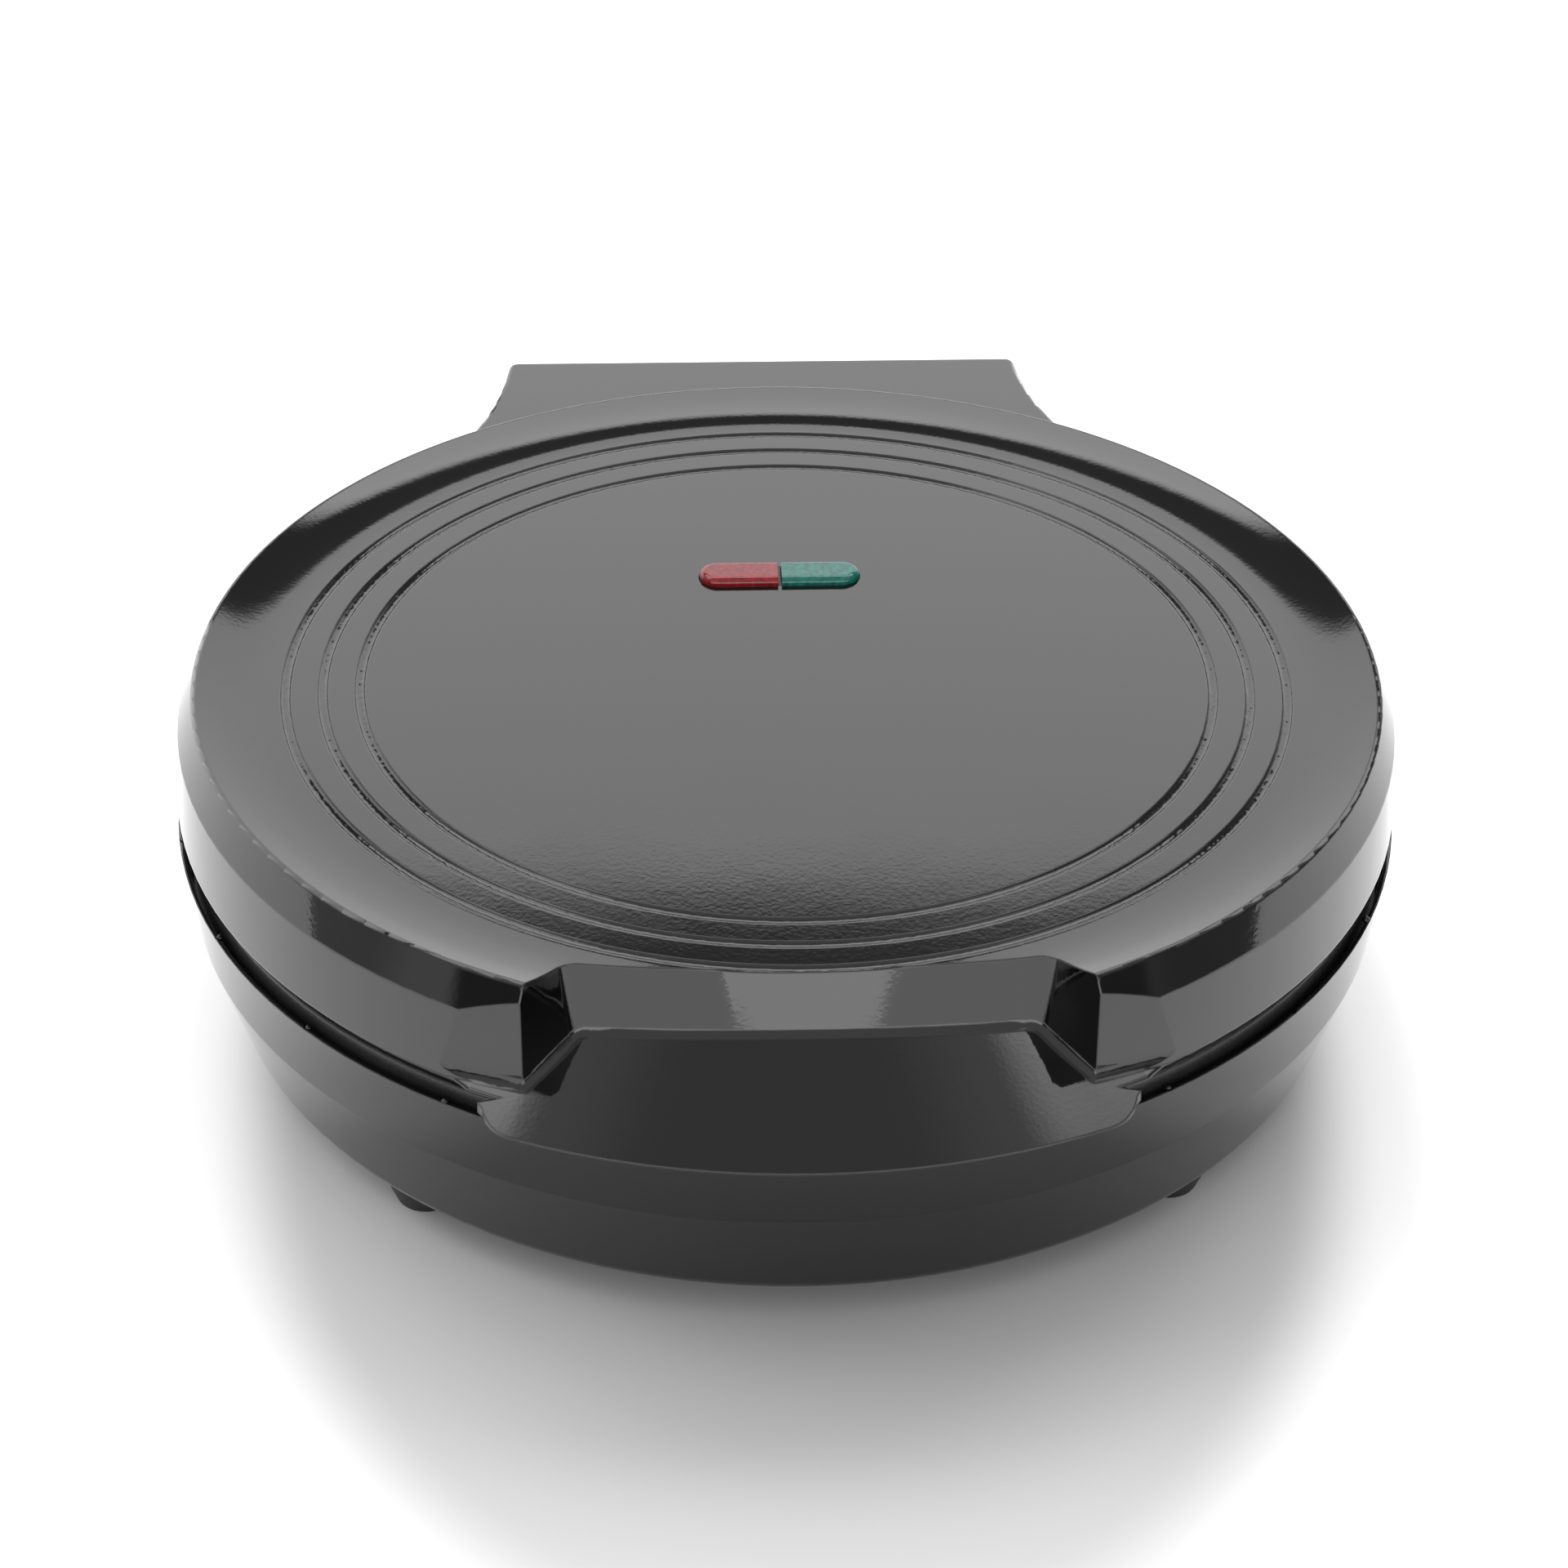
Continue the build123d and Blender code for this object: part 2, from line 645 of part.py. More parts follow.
# Bowl of the base
with BuildPart() as base_shell:
    add(bowl.part)
    add(housing_room.part, mode=Mode.SUBTRACT)
    # Inside of the bowl up to the seat, and the wider space for the plate over it
    with BuildSketch(section):
        with BuildLine():
            Polyline(
                (0, floor_top_z),
                (base_floor_radius - base_floor_fillet, floor_top_z),
                (base_crease_radius - casing_wall, base_crease_z),
                (seat_wall_radius, seat_z - seat_thickness),
                (seat_inner_radius, seat_z - seat_thickness),
                (seat_inner_radius, seat_z),
                (seat_wall_radius + casing_wall - rim_lip, seat_z),
                (base_rim_radius - rim_lip, base_rim_z),
                (0, base_rim_z),
                close=True,
            )
        make_face()
    revolve(axis=disc_axis, mode=Mode.SUBTRACT)
    # Nubs along the rim's inner edge
    with Locations(disc.offset(base_rim_z - nub_radius + nub_rise)):
        with PolarLocations(base_rim_radius - nub_inset, nub_count, start_angle=-90):
            Sphere(nub_radius)
    # Bosses for the lower plate's screws, standing on the seat
    with BuildSketch(disc.offset(seat_z)):
        with Locations(*ring(plate_screw_circle, 4, 45)):
            Circle(plate_boss_radius)
    extrude(amount=skirt_height - plate_thickness)
    with BuildSketch(disc.offset(seat_z - seat_thickness)):
        with Locations(*ring(plate_screw_circle, 4, 45)):
            Circle(plate_screw_radius + screw_fit)
    extrude(amount=skirt_height + seat_thickness, mode=Mode.SUBTRACT)
    # Opening for the bottom cover, with a raised ledge and screw bosses round it
    with BuildSketch(disc.offset(floor_top_z)):
        Circle(cover_radius + cover_fit + cover_ledge)
    extrude(amount=cover_ledge)
    with BuildSketch(disc.offset(floor_top_z + cover_ledge)):
        with Locations(*ring(cover_screw_circle, cover_screw_count)):
            Circle(cover_boss_radius)
    extrude(amount=cover_boss_height)
    with BuildSketch(disc.offset(base_floor_z)):
        Circle(cover_radius + cover_fit)
    extrude(amount=casing_wall, mode=Mode.SUBTRACT)
    with BuildSketch(disc.offset(floor_top_z)):
        Circle(cover_opening)
        with Locations(*ring(cover_screw_circle, cover_screw_count)):
            Circle(cover_screw_radius + screw_fit)
    extrude(amount=cover_ledge + cover_boss_height, mode=Mode.SUBTRACT)
    # Bosses for the feet
    with BuildSketch(disc.offset(floor_top_z)):
        with Locations(*foot_places.values()):
            Circle(foot_boss_radius)
    extrude(amount=foot_boss_height)
    with BuildSketch(disc.offset(base_floor_z)):
        with Locations(*foot_places.values()):
            Circle(foot_screw_radius + screw_fit)
    extrude(amount=casing_wall + foot_boss_height, mode=Mode.SUBTRACT)
save(base_shell, "base_shell")

# Hinge housing, a moulding of its own against the back of the bowl
with BuildPart() as hinge_housing:
    with BuildSketch(disc.offset(base_rim_z)):
        with BuildLine():
            hood_outline(housing_reach, housing_half_width)
        make_face()
    extrude(amount=housing_floor_z - base_rim_z)
    add(bowl.part, mode=Mode.SUBTRACT)
    add(housing_room.part, mode=Mode.SUBTRACT)
    # Ears that hold the hinge pins, and the notch between each pair
    for side in (-1, 1):
        with BuildSketch(Plane.XY.offset(base_rim_z)):
            with Locations((side * hinge_centre_x, axis_y + hinge_y)):
                Rectangle(knuckle_length + 2 * ear_gap, 2 * (knuckle_radius + notch_margin))
        extrude(amount=-notch_depth, mode=Mode.SUBTRACT)
        for offset_x in (-ear_offset, ear_offset):
            with BuildSketch(hinge_plane(side * hinge_centre_x + offset_x)):
                Circle(knuckle_radius)
                with Locations(((housing_back - knuckle_radius) / 2, -(hinge_above_rim + notch_depth) / 2)):
                    Rectangle(knuckle_radius + housing_back, hinge_above_rim + notch_depth)
                Circle(pin_radius + pin_fit, mode=Mode.SUBTRACT)
            extrude(amount=ear_length / 2, both=True)
        with Locations(hinge_plane(side * hinge_centre_x)):
            Cylinder(pin_radius + pin_fit, 2 * (ear_offset + ear_length / 2), mode=Mode.SUBTRACT)
        with BuildSketch(hinge_plane(side * pin_head_x)):
            Circle(pin_head_radius + screw_clearance)
        extrude(amount=side * (pin_head_length + ear_gap), mode=Mode.SUBTRACT)
    with BuildSketch(inlet_plane):
        Circle(inlet_radius + inlet_fit)
    extrude(amount=-2 * casing_wall, mode=Mode.SUBTRACT)
save(hinge_housing, "hinge_housing")

# Pins of the hinge, each with a head against the outer ear
for side, name in ((-1, "left_hinge_pin"), (1, "right_hinge_pin")):
    with BuildPart() as hinge_pin:
        with BuildSketch(hinge_plane(side * pin_head_x)):
            Circle(pin_radius)
        extrude(amount=-side * 2 * (ear_offset + ear_length / 2))
        with BuildSketch(hinge_plane(side * pin_head_x)):
            Circle(pin_head_radius)
        extrude(amount=side * pin_head_length)
    save(hinge_pin, name)

# Lower plate: a dish with a wide rim, and a skirt that stands on the seat
with BuildPart() as lower_plate:
    with BuildSketch(section) as profile:
        with BuildLine():
            Polyline(
                (0, lower_dish_z),
                (plate_floor_radius, lower_dish_z),
                (plate_rim_inner, lower_rim_z),
                (plate_radius, lower_rim_z),
                (plate_radius, seat_z),
                (plate_radius - skirt_width, seat_z),
                (plate_radius - skirt_width, lower_rim_z - plate_thickness),
                (plate_rim_inner + plate_thickness, lower_rim_z - plate_thickness),
                (plate_floor_radius + plate_thickness, lower_under_z),
                (0, lower_under_z),
                close=True,
            )
        make_face()
        rim_corners = profile.vertices().filter_by(lambda v: abs(v.Y - lower_rim_z) < edge_fillet)
        fillet(rim_corners, plate_rim_fillet)
        dish_corner = profile.vertices().filter_by(lambda v: abs(v.Y - lower_dish_z) < edge_fillet)
        fillet(dish_corner.sort_by(Axis.X)[-1:], plate_dish_fillet)
    revolve(axis=disc_axis)
    with BuildSketch(disc.offset(lower_under_z)):
        with Locations(*ring(reflector_post_circle, 4)):
            Circle(reflector_post_radius)
            Circle(reflector_screw_radius + screw_fit, mode=Mode.SUBTRACT)
    extrude(amount=lower_reflector_z - lower_under_z)
    with BuildSketch(disc.offset(lower_under_z)):
        with Locations((-strap_post_x, thermostat_y), (strap_post_x, thermostat_y)):
            Circle(strap_post_radius)
            Circle(reflector_screw_radius + screw_fit, mode=Mode.SUBTRACT)
    extrude(amount=-thermostat_cap_height)
    flush_screws(
        ring(plate_screw_circle, 4, 45),
        lower_rim_z,
        -1,
        plate_screw_head_radius + screw_clearance,
        plate_screw_radius + screw_clearance,
        plate_thickness,
        Mode.SUBTRACT,
    )
save(lower_plate, "lower_plate")

# Upper plate: a shallower dish turned over, held under the lid
with BuildPart() as upper_plate:
    with BuildSketch(section) as profile:
        with BuildLine():
            Polyline(
                (0, upper_dish_z),
                (plate_floor_radius, upper_dish_z),
                (plate_rim_inner, upper_rim_z),
                (plate_radius, upper_rim_z),
                (plate_radius, upper_rim_z + plate_thickness),
                (plate_rim_inner + plate_thickness, upper_rim_z + plate_thickness),
                (plate_floor_radius + plate_thickness, upper_back_z),
                (0, upper_back_z),
                close=True,
            )
        make_face()
        rim_corners = profile.vertices().filter_by(lambda v: abs(v.Y - upper_rim_z) < edge_fillet)
        fillet(rim_corners, plate_rim_fillet)
        dish_corner = profile.vertices().filter_by(lambda v: abs(v.Y - upper_dish_z) < edge_fillet)
        fillet(dish_corner.sort_by(Axis.X)[-1:], plate_dish_fillet)
    revolve(axis=disc_axis)
    with BuildSketch(disc.offset(upper_back_z)):
        with Locations(*ring(reflector_post_circle, 4)):
            Circle(reflector_post_radius)
            Circle(reflector_screw_radius + screw_fit, mode=Mode.SUBTRACT)
    extrude(amount=upper_reflector_z - upper_back_z)
    flush_screws(
        ring(plate_screw_circle, 4, 45),
        upper_rim_z,
        1,
        plate_screw_head_radius + screw_clearance,
        plate_screw_radius + screw_clearance,
        plate_thickness,
        Mode.SUBTRACT,
    )
save(upper_plate, "upper_plate")

for name, face_z, way in (
    ("lower_plate_screws", lower_rim_z - screw_sink, -1),
    ("upper_plate_screws", upper_rim_z + screw_sink, 1),
):
    with BuildPart() as plate_screws:
        flush_screws(
            ring(plate_screw_circle, 4, 45),
            face_z,
            way,
            plate_screw_head_radius,
            plate_screw_radius,
            plate_thickness + plate_screw_length,
        )
    save(plate_screws, name)

# Heaters: a sheathed ring against the back of each plate, with its cold pins
for name, height, leg_end, pin_length in (
    ("lower_heater", lower_heater_z, -heater_leg_end, -lower_pin_length),
    ("upper_heater", upper_heater_z, upper_heater_leg_end, upper_pin_length),
):
    with BuildPart() as heater:
        with BuildLine() as path:
            tip = heater_path(height, leg_end)
        with BuildSketch(Plane(origin=tip, z_dir=(0, 0, -leg_end))):
            Circle(heater_tube_radius)
        sweep(path=path.line)
        with BuildSketch(disc.offset(height + leg_end)):
            with Locations((-heater_leg_x, heater_leg_y), (heater_leg_x, heater_leg_y)):
                Circle(heater_pin_radius)
        extrude(amount=pin_length)
    save(heater, name)

# Saddles that hold each heater against its plate
for name, plate_z, way in (
    ("lower_heater_clips", lower_under_z, -1),
    ("upper_heater_clips", upper_back_z, 1),
):
    near = (Align.CENTER, Align.CENTER, Align.MIN if way > 0 else Align.MAX)
    inner = 2 * (heater_tube_radius + clip_gap)
    with BuildPart() as clips:
        with Locations(disc.offset(plate_z)):
            for angle in clip_angles:
                with PolarLocations(heater_ring_radius, 1, start_angle=angle):
                    Box(inner + 2 * clip_leg, clip_width, 2 * heater_tube_radius + clip_sheet, align=near)
                    Box(inner, clip_width, 2 * heater_tube_radius, align=near, mode=Mode.SUBTRACT)
    save(clips, name)

# Reflectors: thin pans behind the heaters, screwed to posts on the plates
for name, face_z, way in (
    ("lower_reflector", lower_reflector_z, -1),
    ("upper_reflector", upper_reflector_z, 1),
):
    with BuildPart() as reflector:
        with BuildSketch(disc.offset(face_z)):
            Circle(reflector_radius)
            with Locations(*ring(reflector_post_circle, 4)):
                Circle(reflector_screw_radius + screw_clearance, mode=Mode.SUBTRACT)
            with Locations((-heater_leg_x, heater_leg_y), (heater_leg_x, heater_leg_y)):
                Circle(heater_hole_radius, mode=Mode.SUBTRACT)
            if way < 0:
                with Locations((0, thermostat_y)):
                    Circle(thermostat_body_radius + heater_tube_radius, mode=Mode.SUBTRACT)
        extrude(amount=way * reflector_sheet)
        with BuildSketch(disc.offset(face_z)):
            Circle(reflector_radius)
            Circle(reflector_radius - reflector_sheet, mode=Mode.SUBTRACT)
        extrude(amount=-way * reflector_rim)
    save(reflector, name)
    with BuildPart() as reflector_screws:
        pan_screws(
            ring(reflector_post_circle, 4),
            face_z + way * reflector_sheet,
            -way,
            reflector_screw_head,
            reflector_screw_head_height,
            reflector_screw_radius,
            reflector_screw_length,
        )
    save(reflector_screws, name + "_screws")

# Thermostat under the lower plate, and the strap that presses it up
strap_z = lower_under_z - thermostat_cap_height
with BuildPart() as thermostat:
    with Locations(disc.offset(lower_under_z)):
        with Locations((0, thermostat_y)):
            Cylinder(thermostat_radius, thermostat_cap_height, align=(Align.CENTER, Align.CENTER, Align.MAX))
    with Locations(disc.offset(strap_z)):
        with Locations((0, thermostat_y)):
            Cylinder(
                thermostat_body_radius, thermostat_body_height, align=(Align.CENTER, Align.CENTER, Align.MAX)
            )
    with Locations(disc.offset(strap_z - thermostat_body_height)):
        with Locations((-blade_x, thermostat_y), (blade_x, thermostat_y)):
            Box(blade_sheet, blade_width, thermostat_blade_height, align=(Align.CENTER, Align.CENTER, Align.MAX))
save(thermostat, "thermostat")

with BuildPart() as thermostat_strap:
    with BuildSketch(disc.offset(strap_z)):
        with Locations((0, thermostat_y)):
            Rectangle(2 * (strap_post_x + strap_end), strap_width)
            Circle(thermostat_body_radius + screw_clearance, mode=Mode.SUBTRACT)
        with Locations((-strap_post_x, thermostat_y), (strap_post_x, thermostat_y)):
            Circle(reflector_screw_radius + screw_clearance, mode=Mode.SUBTRACT)
    extrude(amount=-strap_sheet)
save(thermostat_strap, "thermostat_strap")

with BuildPart() as strap_screws:
    pan_screws(
        [(-strap_post_x, thermostat_y), (strap_post_x, thermostat_y)],
        strap_z - strap_sheet,
        1,
        reflector_screw_head,
        reflector_screw_head_height,
        reflector_screw_radius,
        strap_sheet + thermostat_cap_height,
    )
save(strap_screws, "thermostat_screws")

# Thermal fuses: one under the lower reflector and one over the upper
for name, face_z, way in (
    ("lower_thermal_fuse", lower_reflector_z - reflector_sheet, -1),
    ("upper_thermal_fuse", upper_reflector_z + reflector_sheet, 1),
):
    fuse_axis = Plane(origin=(0, axis_y + fuse_y, face_z + way * fuse_radius), x_dir=(0, 1, 0), z_dir=(1, 0, 0))
    with BuildPart() as fuse:
        with Locations(fuse_axis):
            Cylinder(fuse_radius, fuse_length)
            Cylinder(fuse_lead_radius, fuse_length + 2 * fuse_lead_length)
    save(fuse, name)

# Lenses of the two lamps: halves of one long rounded window
for side, name in ((-1, "red_lens"), (1, "green_lens")):
    with BuildPart() as lens:
        with BuildSketch(disc.offset(lens_low_z)):
            with Locations((0, lamp_y)):
                SlotOverall(lamp_length + 2 * lamp_flange, lamp_width + 2 * lamp_flange)
        extrude(amount=lamp_flange_sheet)
        with BuildSketch(disc.offset(lens_low_z)):
            with Locations((0, lamp_y)):
                SlotOverall(lamp_length, lamp_width)
        extrude(amount=lid_top_z + lamp_rise - lens_low_z)
        fillet(lens.faces().sort_by(Axis.Z)[-1].edges(), lamp_top_fillet)
        split(bisect_by=Plane(origin=(side * lamp_split / 2, 0, 0), z_dir=(side, 0, 0)), keep=Keep.TOP)
    save(lens, name)

# Box that holds both lamps under the lid, with a fence between their lenses
with BuildPart() as lamp_box:
    box_length = lamp_length + 2 * lamp_box_margin
    box_width = lamp_width + 2 * lamp_box_margin
    with BuildSketch(disc.offset(lens_low_z)):
        with Locations((0, lamp_y)):
            RectangleRounded(box_length, box_width, lamp_box_margin)
    extrude(amount=-lamp_box_height)
    with BuildSketch(disc.offset(lens_low_z)):
        with Locations((0, lamp_y)):
            Rectangle(box_length - 2 * lamp_box_wall, box_width - 2 * lamp_box_wall)
    extrude(amount=lamp_box_wall - lamp_box_height, mode=Mode.SUBTRACT)
    with BuildSketch(disc.offset(lens_low_z - lamp_box_height)):
        with Locations((0, lamp_y)):
            Rectangle(lamp_fence, box_width)
    extrude(amount=lamp_box_height)
    with BuildSketch(disc.offset(lens_low_z)):
        with Locations((0, lamp_y)):
            Rectangle(lamp_fence, lamp_width)
    extrude(amount=lid_top_z - lens_low_z)
    with BuildSketch(disc.offset(lamp_lug_z)):
        with Locations((-lamp_lug_x, lamp_y), (lamp_lug_x, lamp_y)):
            Rectangle(lamp_lug_length, lamp_lug_length)
            Circle(lamp_screw_radius + screw_clearance, mode=Mode.SUBTRACT)
    extrude(amount=-lamp_lug_sheet)
save(lamp_box, "lamp_box")

with BuildPart() as lamp_box_screws:
    pan_screws(
        [(-lamp_lug_x, lamp_y), (lamp_lug_x, lamp_y)],
        lamp_lug_z - lamp_lug_sheet,
        1,
        2 * lamp_screw_radius,
        lamp_screw_radius,
        lamp_screw_radius,
        lamp_lug_sheet + lamp_boss_height - lamp_screw_radius,
    )
save(lamp_box_screws, "lamp_box_screws")

for side, name in ((-1, "red_lamp"), (1, "green_lamp")):
    lamp_axis = Plane(
        origin=(side * lamp_length / 4, axis_y + lamp_y, neon_z),
        x_dir=(0, 1, 0),
        z_dir=(1, 0, 0),
    )
    with BuildPart() as neon:
        with Locations(lamp_axis):
            Cylinder(neon_radius, neon_length)
    save(neon, name)

# Cover under the hood, notched round the knuckles
with BuildPart() as hinge_cover:
    with BuildSketch(disc.offset(hinge_cover_z)):
        with BuildLine():
            inset = casing_wall + hinge_cover_fit
            hood_outline(hood_reach - inset, hood_half_width - inset)
        make_face()
        Circle(hinge_cover_front, mode=Mode.SUBTRACT)
        with Locations((-hinge_centre_x, hinge_y), (hinge_centre_x, hinge_y)):
            Rectangle(knuckle_length + 2 * ear_gap, 2 * (hinge_back_set + ear_gap), mode=Mode.SUBTRACT)
    extrude(amount=hinge_cover_sheet)
    flush_screws(
        hinge_cover_points,
        hinge_cover_z,
        1,
        cover_screw_head_radius + screw_clearance,
        cover_screw_radius + screw_clearance,
        hinge_cover_sheet,
        Mode.SUBTRACT,
    )
save(hinge_cover, "hinge_cover")

with BuildPart() as hinge_cover_screws:
    flush_screws(
        hinge_cover_points,
        hinge_cover_z + screw_sink,
        1,
        cover_screw_head_radius,
        cover_screw_radius,
        cover_screw_length,
    )
save(hinge_cover_screws, "hinge_cover_screws")

# Bottom cover with two banks of vents, and its screws
with BuildPart() as bottom_cover:
    with BuildSketch(disc.offset(base_floor_z)):
        Circle(cover_radius)
        with Locations((-vent_offset_x, 0), (vent_offset_x, 0)):
            with GridLocations(0, vent_pitch, 1, vent_count):
                SlotOverall(vent_length, vent_width, mode=Mode.SUBTRACT)
    extrude(amount=casing_wall)
    flush_screws(
        ring(cover_screw_circle, cover_screw_count),
        base_floor_z,
        1,
        cover_screw_head_radius + screw_clearance,
        cover_screw_radius + screw_clearance,
        casing_wall,
        Mode.SUBTRACT,
    )
save(bottom_cover, "bottom_cover")

with BuildPart() as bottom_cover_screws:
    flush_screws(
        ring(cover_screw_circle, cover_screw_count),
        base_floor_z + screw_sink,
        1,
        cover_screw_head_radius,
        cover_screw_radius,
        cover_screw_length,
    )
save(bottom_cover_screws, "bottom_cover_screws")

# Feet, each held by a screw deep in its recess
for name, place in foot_places.items():
    with BuildPart() as foot:
        with BuildSketch(disc):
            with Locations(place):
                Circle(foot_radius)
        with BuildSketch(disc.offset(foot_height)):
            with Locations(place):
                Circle(foot_top_radius)
        loft()
        fillet(foot.faces().sort_by(Axis.Z)[0].edges(), foot_edge_fillet)
        with BuildSketch(disc):
            with Locations(place):
                Circle(foot_recess_radius)
        extrude(amount=foot_recess_depth, mode=Mode.SUBTRACT)
        with BuildSketch(disc.offset(foot_recess_depth)):
            with Locations(place):
                Circle(foot_screw_radius + screw_clearance)
        extrude(amount=foot_height - foot_recess_depth, mode=Mode.SUBTRACT)
    save(foot, name)

with BuildPart() as foot_screws:
    pan_screws(
        list(foot_places.values()),
        foot_recess_depth,
        1,
        foot_screw_head_radius,
        foot_screw_head_height,
        foot_screw_radius,
        foot_screw_length,
    )
save(foot_screws, "foot_screws")

# Bushing of the mains inlet in the housing's back wall
with BuildPart() as inlet_bushing:
    with BuildSketch(inlet_plane):
        Circle(inlet_radius)
        Circle(inlet_bore, mode=Mode.SUBTRACT)
    extrude(amount=-2 * casing_wall)
    with BuildSketch(inlet_plane):
        Circle(inlet_radius + inlet_flange)
        Circle(inlet_bore, mode=Mode.SUBTRACT)
    extrude(amount=inlet_flange_sheet)
save(inlet_bushing, "inlet_bushing")

# Terminal block on the housing's floor, with its clamping screws
with BuildPart() as terminal_block:
    with BuildSketch(disc.offset(terminal_z)):
        with Locations((0, terminal_y)):
            Rectangle(terminal_length, terminal_width)
    extrude(amount=terminal_height)
    bore_middle = (0, axis_y + terminal_y, terminal_z + terminal_height / 2)
    with BuildSketch(Plane(origin=bore_middle, z_dir=(0, -1, 0))):
        with GridLocations(terminal_pitch, 0, terminal_ways, 1):
            Circle(terminal_bore)
    extrude(amount=terminal_width / 2, both=True, mode=Mode.SUBTRACT)
    with BuildSketch(disc.offset(terminal_z + terminal_height)):
        with Locations(*terminal_points):
            Circle(terminal_bore)
    extrude(amount=-terminal_height / 2, mode=Mode.SUBTRACT)
save(terminal_block, "terminal_block")

with BuildPart() as terminal_screws:
    with Locations(disc.offset(terminal_z + terminal_height / 2 + terminal_bore / 2)):
        with Locations(*terminal_points):
            Cylinder(
                terminal_bore - screw_fit,
                terminal_height / 2 - terminal_bore,
                align=(Align.CENTER, Align.CENTER, Align.MIN),
            )
save(terminal_screws, "terminal_screws")
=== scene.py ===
"""Looks of the round electric pizza maker: its finishes, the soft studio light and the camera."""
import json
import math

import bpy
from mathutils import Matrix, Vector

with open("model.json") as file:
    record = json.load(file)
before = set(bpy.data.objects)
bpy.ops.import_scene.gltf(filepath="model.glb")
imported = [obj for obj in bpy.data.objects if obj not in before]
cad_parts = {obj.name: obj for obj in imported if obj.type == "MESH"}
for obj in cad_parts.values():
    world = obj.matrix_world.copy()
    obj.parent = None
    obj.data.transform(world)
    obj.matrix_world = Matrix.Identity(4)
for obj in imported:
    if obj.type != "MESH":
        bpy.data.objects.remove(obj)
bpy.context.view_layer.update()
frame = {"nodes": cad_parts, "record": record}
nodes = frame["nodes"]

# Camera, fitted to the rims and grooves in the photograph
camera_place = Vector((-0.0413, -0.90685, 0.6604))
camera_aim = Vector((-0.0029, -0.06328, 0.0995))
camera_lens = 89.11
camera_sensor = 36.0
camera_near, camera_far = 0.01, 20.0
camera_roll = math.radians(0.61)

# Surroundings, in degrees of heading (from the front, to the right) and of height above the horizon:
# heading, half width, its blur, low edge, high edge, their blur, brightness.
# A later panel covers an earlier one.
panels = [
    (0, 400, 10, 75, 120, 4, 0.5),
    (-162, 57, 10, -90, 35.4, 0.9, 1.95),
    (95, 38, 12, -90, 50, 4, 0.25),
    (-84, 12, 6, -90, 22, 4, 0.5),
    (180, 60, 12, 44, 69, 2, 3.4),
    (-90, 20, 8, 45, 64, 4, 3.4),
    (80, 20, 8, 50, 60, 4, 1.8),
    (180, 85, 20, 35.4, 43.5, 0.8, 0.2),
    (-52, 8, 1.5, -90, 12, 3, 0.15),
    (54, 8, 1.5, -90, 12, 3, 0.15),
    (1, 43, 1.5, -90, 14, 3, 3.4),
]
plain = 0.8
no_low_edge = -500
inside_range = 0.99999  # keeps the arc cosine's input below 1

# Floor, and the shade on it: its middle, a little to the front, how tightly it closes in each way,
# and the glow by the distance from that middle
floor_size = 6.0
floor_grey = 0.7
shade_centre = (0.0, -0.05, 0.0)
shade_scale = (1.35, 0.85, 1.0)
glow_stops = [(0.18, 0.0), (0.22, 0.4), (0.28, 0.9)]

# Casing: its own colour, the radius that softens its edges, and the depths of its two surface bumps
casing_colour = (0.0018, 0.0018, 0.0019, 1)
casing_ior = 1.6
casing_edge = 0.0007
edge_samples = 6
wave_depth = 1.0e-5
peel_depth = 6.0e-6

plastic_ior = 1.5
coat_ior = 1.45
middle = 0.5  # middle of a noise's range


def node(tree, kind, inputs=None, **settings):
    """Adds a shader node; inputs are values or the sockets to link from."""
    made = tree.nodes.new(kind)
    for name, value in settings.items():
        setattr(made, name, value)
    for socket, value in (inputs or {}).items():
        if isinstance(value, bpy.types.NodeSocket):
            tree.links.new(value, made.inputs[socket])
        else:
            made.inputs[socket].default_value = value
    return made


def math_node(tree, operation, *values):
    return node(tree, "ShaderNodeMath", dict(enumerate(values)), operation=operation).outputs[0]


def vector_node(tree, operation, *values):
    return node(tree, "ShaderNodeVectorMath", dict(enumerate(values)), operation=operation).outputs


def ramp(tree, value, stops, interpolation="LINEAR"):
    """Colour ramp from (position, grey) or (position, colour) stops."""
    made = node(tree, "ShaderNodeValToRGB", {"Fac": value})
    band = made.color_ramp
    band.interpolation = interpolation
    for _ in range(len(stops) - 2):
        band.elements.new(0.5)
    for element, (place, colour) in zip(band.elements, stops):
        element.position = place
        element.color = (*colour, 1) if isinstance(colour, tuple) else (colour, colour, colour, 1)
    return made.outputs["Color"]


def vary(tree, value, socket, low, high, half=0.2):
    """Lets noise move an input from low to high over the middle of its range."""
    tree.links.new(ramp(tree, value, [(middle - half, low), (middle + half, high)]), socket)


def dimmed(colour, share):
    return tuple(share * c for c in colour)


def new_material(name, ior=None):
    material = bpy.data.materials.new(name)
    material.use_nodes = True
    tree = material.node_tree
    shader = tree.nodes["Principled BSDF"]
    if ior:
        shader.inputs["IOR"].default_value = ior
    where = node(tree, "ShaderNodeTexCoord").outputs["Object"]
    return material, tree, shader, where


def noise(tree, where, scale, detail=2.0, roughness=0.5):
    inputs = {"Vector": where, "Scale": scale, "Detail": detail, "Roughness": roughness}
    return node(tree, "ShaderNodeTexNoise", inputs).outputs["Fac"]


